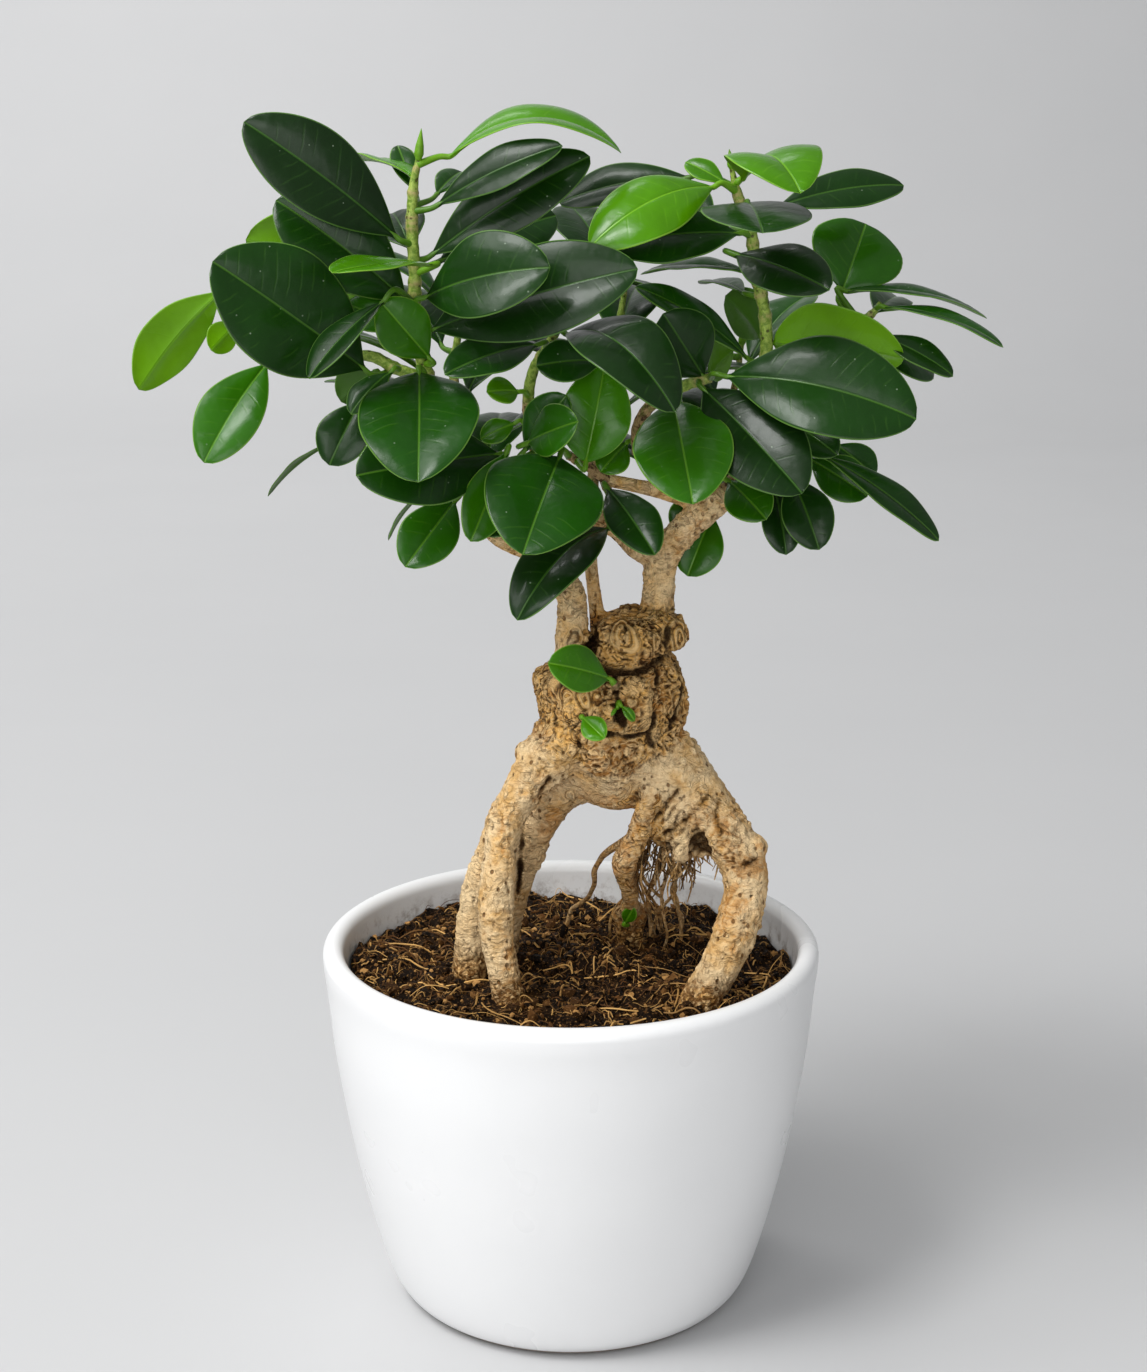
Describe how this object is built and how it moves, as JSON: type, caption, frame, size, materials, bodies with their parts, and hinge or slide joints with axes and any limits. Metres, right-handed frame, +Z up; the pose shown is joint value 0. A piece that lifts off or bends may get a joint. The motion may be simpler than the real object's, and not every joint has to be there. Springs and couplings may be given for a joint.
{
  "type": "ficus bonsai in pot",
  "caption": "Ginseng-type ficus bonsai with thick aerial roots and glossy oval leaves, standing in potting soil in a white glazed round pot",
  "frame": {"origin": "centre of the pot's flat underside, on the surface that it stands on", "axes": "+Z up, along the pot's axis; -Y is the front, the side that the picture shows; +X to the right"},
  "size_m": [0.2313, 0.14, 0.334],
  "materials": {
    "glaze": "gloss",
    "soil": "matte",
    "bark": "matte",
    "leaf": "satin",
    "young_leaf": "satin"
  },
  "bodies": {
    "root": {"pot": "glaze", "soil": "soil", "trunk": "bark", "left_shoot": "leaf", "middle_left_shoot": "leaf", "centre_shoot": "leaf", "middle_right_shoot": "leaf", "right_shoot": "leaf", "lower_right_shoot": "leaf", "back_left_shoot": "leaf", "back_middle_shoot": "leaf", "back_right_shoot": "leaf", "belly_sprout": "young_leaf", "low_sprout": "young_leaf"}
  },
  "joints": []
}
